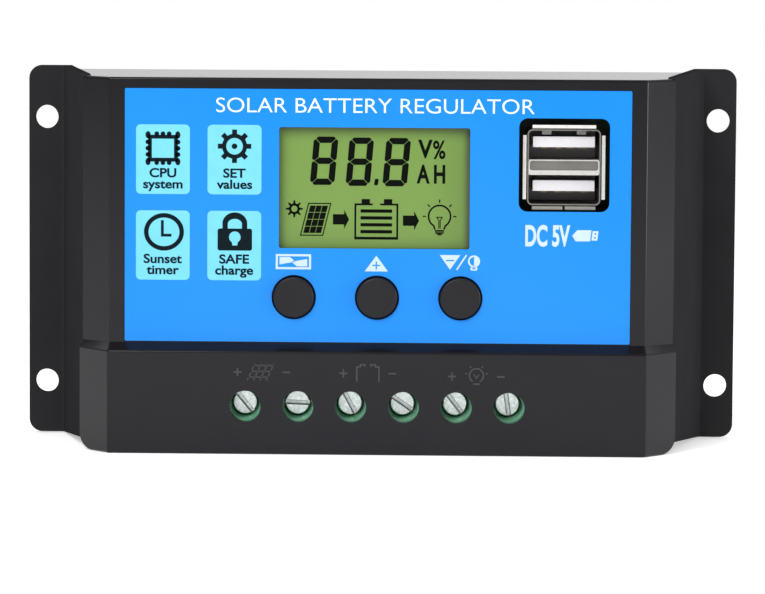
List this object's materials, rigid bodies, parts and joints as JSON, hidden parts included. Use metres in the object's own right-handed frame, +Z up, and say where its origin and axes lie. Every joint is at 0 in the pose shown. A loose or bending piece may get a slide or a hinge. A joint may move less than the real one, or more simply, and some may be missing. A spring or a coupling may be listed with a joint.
{
  "type": "charge controller",
  "caption": "Wall-mounted solar charge controller: metal back plate, moulded cover with blue label, display, push buttons, stacked USB sockets and rising-clamp wire terminals.",
  "frame": {"origin": "centre of the four wall holes, on the back face that lies on the wall", "axes": "+X to the right as seen from the front, +Y into the wall, +Z up; the front faces -Y"},
  "size_m": [0.1334, 0.035, 0.0698],
  "materials": {
    "case_metal": "black anodised, satin",
    "cover_plastic": "glossy moulded black",
    "label_print": "printed film under a clear gloss coat",
    "lcd_cell": "reflective yellow-green display cell",
    "light_guide": "white moulded",
    "button_plastic": "fine matte black",
    "block_plastic": "green moulded",
    "plated_steel": "bright nickel plate",
    "fastener_steel": "zinc plate",
    "tinned_brass": "tinned",
    "usb_steel": "nickel-plated folded sheet",
    "usb_plastic": "white moulded",
    "contact_gold": "gold flash",
    "board_laminate": "green solder mask",
    "chip_epoxy": "black epoxy",
    "can_aluminium": "sleeved can",
    "ferrite": "sintered grey",
    "pad_silicone": "grey silicone sheet"
  },
  "bodies": {
    "housing": {"heatsink_base": "case_metal", "front_cover": "cover_plastic", "label_film": "label_print", "lcd_glass": "lcd_cell", "lcd_backlight": "light_guide", "switch_body_1": "chip_epoxy", "switch_body_2": "chip_epoxy", "switch_body_3": "chip_epoxy", "microcontroller": "chip_epoxy", "regulator_chip": "chip_epoxy", "shunt_resistor": "chip_epoxy", "blocking_diode": "chip_epoxy", "board_header": "chip_epoxy", "power_mosfet_1": "chip_epoxy", "power_mosfet_2": "chip_epoxy", "power_mosfet_3": "chip_epoxy", "power_mosfet_4": "chip_epoxy", "terminal_block": "block_plastic", "terminal_pin_1": "tinned_brass", "terminal_pin_2": "tinned_brass", "terminal_pin_3": "tinned_brass", "terminal_pin_4": "tinned_brass", "terminal_pin_5": "tinned_brass", "terminal_pin_6": "tinned_brass", "lcd_pins": "tinned_brass", "board_standoffs": "tinned_brass", "usb_shell": "usb_steel", "usb_insulator": "usb_plastic", "usb_contacts": "contact_gold", "main_board": "board_laminate", "display_board": "board_laminate", "main_capacitor": "can_aluminium", "usb_capacitor": "can_aluminium", "buck_inductor": "ferrite", "thermal_pad": "pad_silicone", "mosfet_screws": "fastener_steel", "board_screws": "fastener_steel", "display_screws": "fastener_steel", "cover_screws": "fastener_steel"},
    "button_1": {"button_cap_1": "button_plastic", "switch_plunger_1": "light_guide"},
    "button_2": {"button_cap_2": "button_plastic", "switch_plunger_2": "light_guide"},
    "button_3": {"button_cap_3": "button_plastic", "switch_plunger_3": "light_guide"},
    "screw_1": {"terminal_screw_1": "plated_steel"},
    "cage_1": {"clamp_cage_1": "plated_steel"},
    "screw_2": {"terminal_screw_2": "plated_steel"},
    "cage_2": {"clamp_cage_2": "plated_steel"},
    "screw_3": {"terminal_screw_3": "plated_steel"},
    "cage_3": {"clamp_cage_3": "plated_steel"},
    "screw_4": {"terminal_screw_4": "plated_steel"},
    "cage_4": {"clamp_cage_4": "plated_steel"},
    "screw_5": {"terminal_screw_5": "plated_steel"},
    "cage_5": {"clamp_cage_5": "plated_steel"},
    "screw_6": {"terminal_screw_6": "plated_steel"},
    "cage_6": {"clamp_cage_6": "plated_steel"}
  },
  "joints": [
    {"name": "button_press_1", "type": "slide", "parent": "housing", "child": "button_1", "axis": [0, 1, 0], "range_m": [0, 0.0003], "stiffness_N_per_m": 800, "springref_m": -0.001},
    {"name": "button_press_2", "type": "slide", "parent": "housing", "child": "button_2", "axis": [0, 1, 0], "range_m": [0, 0.0003], "stiffness_N_per_m": 800, "springref_m": -0.001},
    {"name": "button_press_3", "type": "slide", "parent": "housing", "child": "button_3", "axis": [0, 1, 0], "range_m": [0, 0.0003], "stiffness_N_per_m": 800, "springref_m": -0.001},
    {"name": "screw_turn_1", "type": "hinge", "parent": "housing", "child": "screw_1", "pos_m": [-0.02385, -0.024, -0.026], "axis": [0, 1, 0], "range_deg": [0, 2160]},
    {"name": "screw_turn_2", "type": "hinge", "parent": "housing", "child": "screw_2", "pos_m": [-0.01435, -0.024, -0.026], "axis": [0, 1, 0], "range_deg": [0, 2160]},
    {"name": "screw_turn_3", "type": "hinge", "parent": "housing", "child": "screw_3", "pos_m": [-0.00485, -0.024, -0.026], "axis": [0, 1, 0], "range_deg": [0, 2160]},
    {"name": "screw_turn_4", "type": "hinge", "parent": "housing", "child": "screw_4", "pos_m": [0.00465, -0.024, -0.026], "axis": [0, 1, 0], "range_deg": [0, 2160]},
    {"name": "screw_turn_5", "type": "hinge", "parent": "housing", "child": "screw_5", "pos_m": [0.01415, -0.024, -0.026], "axis": [0, 1, 0], "range_deg": [0, 2160]},
    {"name": "screw_turn_6", "type": "hinge", "parent": "housing", "child": "screw_6", "pos_m": [0.02365, -0.024, -0.026], "axis": [0, 1, 0], "range_deg": [0, 2160]},
    {"name": "cage_lift_1", "type": "slide", "parent": "housing", "child": "cage_1", "axis": [0, -1, 0], "range_m": [0, 0.003]},
    {"name": "cage_lift_2", "type": "slide", "parent": "housing", "child": "cage_2", "axis": [0, -1, 0], "range_m": [0, 0.003]},
    {"name": "cage_lift_3", "type": "slide", "parent": "housing", "child": "cage_3", "axis": [0, -1, 0], "range_m": [0, 0.003]},
    {"name": "cage_lift_4", "type": "slide", "parent": "housing", "child": "cage_4", "axis": [0, -1, 0], "range_m": [0, 0.003]},
    {"name": "cage_lift_5", "type": "slide", "parent": "housing", "child": "cage_5", "axis": [0, -1, 0], "range_m": [0, 0.003]},
    {"name": "cage_lift_6", "type": "slide", "parent": "housing", "child": "cage_6", "axis": [0, -1, 0], "range_m": [0, 0.003]}
  ],
  "couplings": [
    {"joint": "screw_turn_1", "follows": "cage_lift_1", "rad_per_m": 12566},
    {"joint": "screw_turn_2", "follows": "cage_lift_2", "rad_per_m": 12566},
    {"joint": "screw_turn_3", "follows": "cage_lift_3", "rad_per_m": 12566},
    {"joint": "screw_turn_4", "follows": "cage_lift_4", "rad_per_m": 12566},
    {"joint": "screw_turn_5", "follows": "cage_lift_5", "rad_per_m": 12566},
    {"joint": "screw_turn_6", "follows": "cage_lift_6", "rad_per_m": 12566}
  ]
}
